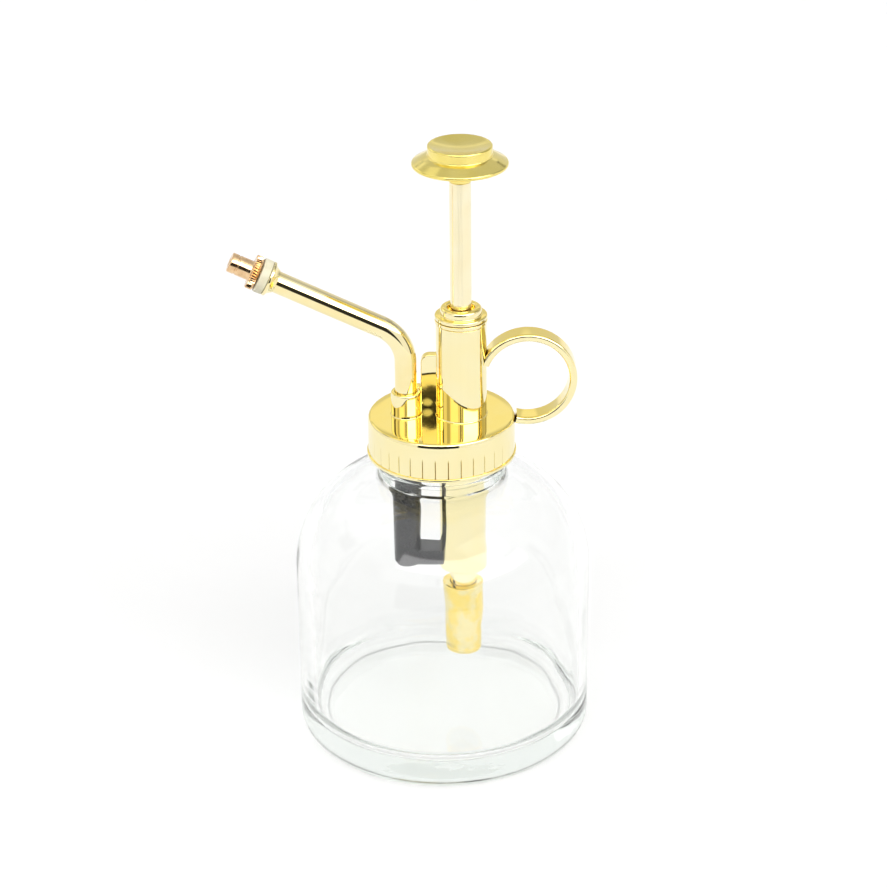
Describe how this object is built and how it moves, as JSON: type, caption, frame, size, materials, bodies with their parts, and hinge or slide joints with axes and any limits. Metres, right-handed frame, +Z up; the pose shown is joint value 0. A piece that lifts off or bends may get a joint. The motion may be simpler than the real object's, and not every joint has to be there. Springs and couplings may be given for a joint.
{
  "type": "hand mister",
  "caption": "Plant mister: squat clear glass bottle with a screw-on gold pump head, thumb plunger, finger ring and bent spout ending in a brass spray nozzle.",
  "frame": {"origin": "centre of the glass bottle's flat underside", "axes": "+Z up along the bottle's axis, the spout points towards -X, the finger ring stands out towards +X"},
  "size_m": [0.0953, 0.08, 0.1693],
  "materials": {
    "clear_glass": "clear, faint green in the thick edges",
    "gold_plating": "mirror-bright metallised gold over moulded plastic",
    "gold_tube": "polished, pale gold plated",
    "bare_brass": "turned, reddish brass",
    "black_plastic": "glossy black moulding",
    "white_plastic": "translucent white",
    "seal_rubber": "moulded rubber",
    "spring_steel": "bright stainless wire and small turned parts"
  },
  "bodies": {
    "bottle": {"glass_bottle": "clear_glass"},
    "gasket": {"neck_gasket": "white_plastic"},
    "head": {"pump_head": "gold_plating", "gland_cap": "gold_plating", "guide_bush": "white_plastic", "rod_seal": "seal_rubber", "pump_barrel": "gold_plating", "barrel_seal": "seal_rubber", "valve_cage": "black_plastic", "suction_tube": "gold_plating", "strainer": "white_plastic", "outlet_chamber": "black_plastic", "outlet_seat": "bare_brass", "chamber_plug": "black_plastic", "spout_tube": "gold_tube", "spout_seal": "seal_rubber", "nozzle_washer": "white_plastic", "nozzle_stem": "bare_brass", "return_spring": "spring_steel", "outlet_spring": "spring_steel"},
    "plunger": {"plunger_rod": "gold_tube", "thumb_button": "gold_plating", "stop_clip": "spring_steel", "piston": "white_plastic", "piston_seal": "seal_rubber", "piston_nut": "spring_steel"},
    "foot_ball": {"foot_valve_ball": "spring_steel"},
    "delivery_ball": {"outlet_ball": "spring_steel"},
    "spray_disc": {"orifice_disc": "spring_steel"},
    "nozzle": {"nozzle_cap": "bare_brass"}
  },
  "joints": [
    {"name": "head_rise", "type": "slide", "parent": "bottle", "child": "gasket", "axis": [0, 0, 1], "range_m": [0, 0.0048]},
    {"name": "head_turn", "type": "hinge", "parent": "gasket", "child": "head", "pos_m": [0, 0, 0.083], "axis": [0, 0, 1], "range_deg": [0, 541]},
    {"name": "plunger_press", "type": "slide", "parent": "head", "child": "plunger", "axis": [0, 0, -1], "range_m": [0, 0.03], "stiffness_N_per_m": 150, "springref_m": -0.025, "deforming": ["return_spring"]},
    {"name": "foot_valve_lift", "type": "slide", "parent": "head", "child": "foot_ball", "axis": [0, 0, 1], "range_m": [0, 0.0016]},
    {"name": "outlet_valve_lift", "type": "slide", "parent": "head", "child": "delivery_ball", "axis": [0, 0, 1], "range_m": [0, 0.0015], "stiffness_N_per_m": 40, "springref_m": -0.001, "deforming": ["outlet_spring"]},
    {"name": "nozzle_advance", "type": "slide", "parent": "head", "child": "spray_disc", "axis": [-0.9003, 0, 0.4352], "range_m": [0, 0.00075]},
    {"name": "nozzle_turn", "type": "hinge", "parent": "spray_disc", "child": "nozzle", "pos_m": [-0.04707, 0, 0.13426], "axis": [-0.9003, 0, 0.4352], "range_deg": [0, 541]}
  ],
  "couplings": [
    {"joint": "head_turn", "follows": "head_rise", "rad_per_m": 1963.5},
    {"joint": "nozzle_turn", "follows": "nozzle_advance", "rad_per_m": 12566}
  ]
}
